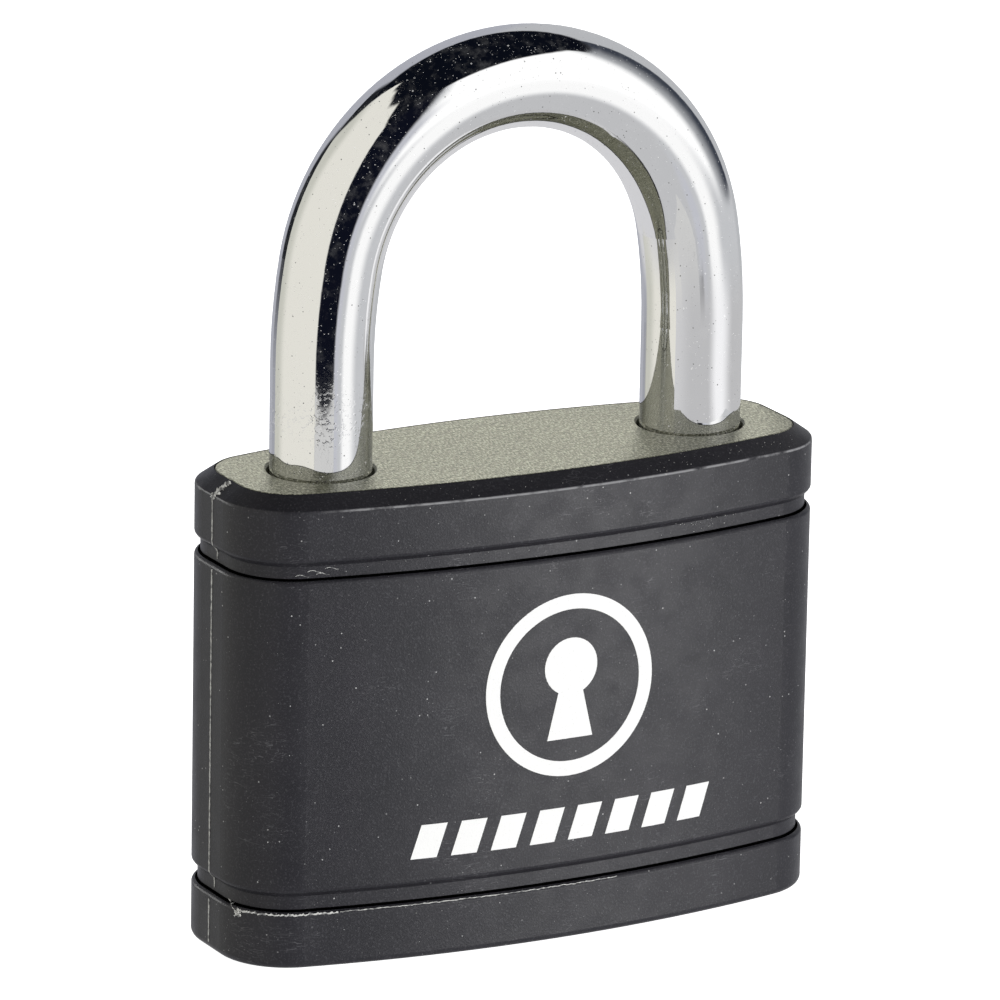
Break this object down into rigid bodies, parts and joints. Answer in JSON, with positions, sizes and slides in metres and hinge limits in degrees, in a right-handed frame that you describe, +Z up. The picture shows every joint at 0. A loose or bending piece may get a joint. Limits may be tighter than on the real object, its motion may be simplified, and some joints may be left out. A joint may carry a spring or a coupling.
{
  "type": "padlock",
  "caption": "Rectangular padlock with a black banded plastic jacket over a painted steel body and a round chromed shackle, worked by a disc-detainer cylinder.",
  "frame": {"origin": "centre of the underside of the base cap, which is the bottom centre of the closed padlock's box", "axes": "+Z up through the shackle, +X across the width towards the heel leg, -Y out of the front face"},
  "size_m": [0.064, 0.024, 0.0891],
  "materials": {
    "jacket_plastic": "fine-grained black, satin",
    "body_paint": "grey-green speckled paint",
    "shackle_chrome": "bright plated",
    "bare_steel": "machined",
    "screw_steel": "black oxide",
    "spring_steel": "drawn wire",
    "ball_steel": "polished ball",
    "cam_steel": "sintered",
    "hardened_steel": "ground",
    "cylinder_brass": "turned",
    "core_brass": "turned",
    "disc_brass": "stamped",
    "front_print": "satin"
  },
  "bodies": {
    "case": {"lock_body": "body_paint", "top_collar": "jacket_plastic", "middle_sleeve": "jacket_plastic", "base_cap": "jacket_plastic", "bore_plug": "bare_steel", "stop_pin": "bare_steel", "bottom_plate": "bare_steel", "retaining_screw": "screw_steel", "cylinder_housing": "cylinder_brass"},
    "core": {"cylinder_core": "core_brass", "core_circlip": "spring_steel", "drive_plug": "cam_steel", "locking_cam": "cam_steel", "anti_drill_disc": "hardened_steel", "spacer_washers": "bare_steel", "sidebar": "hardened_steel", "disc_1": "disc_brass", "disc_2": "disc_brass", "disc_3": "disc_brass", "disc_4": "disc_brass", "disc_5": "disc_brass", "disc_6": "disc_brass", "disc_7": "disc_brass", "disc_8": "disc_brass"},
    "shackle": {"shackle": "shackle_chrome", "shackle_spring": "spring_steel"},
    "heel_ball": {"heel_ball": "ball_steel"},
    "toe_ball": {"toe_ball": "ball_steel"}
  },
  "joints": [
    {"name": "core_turn", "type": "hinge", "parent": "case", "child": "core", "pos_m": [0, 0, 0.02], "axis": [0, 0, 1], "range_deg": [-90, 0]},
    {"name": "heel_ball_slide", "type": "slide", "parent": "case", "child": "heel_ball", "axis": [1, 0, 0], "range_m": [0, 0.0024]},
    {"name": "toe_ball_slide", "type": "slide", "parent": "case", "child": "toe_ball", "axis": [-1, 0, 0], "range_m": [0, 0.0024]},
    {"name": "shackle_lift", "type": "slide", "parent": "case", "child": "shackle", "axis": [0, 0, 1], "range_m": [0, 0.0155], "deforming": ["shackle_spring"]}
  ],
  "couplings": [
    {"joint": "core_turn", "follows": "heel_ball_slide", "rad_per_m": -654.5},
    {"joint": "toe_ball_slide", "follows": "heel_ball_slide", "ratio": 1}
  ]
}
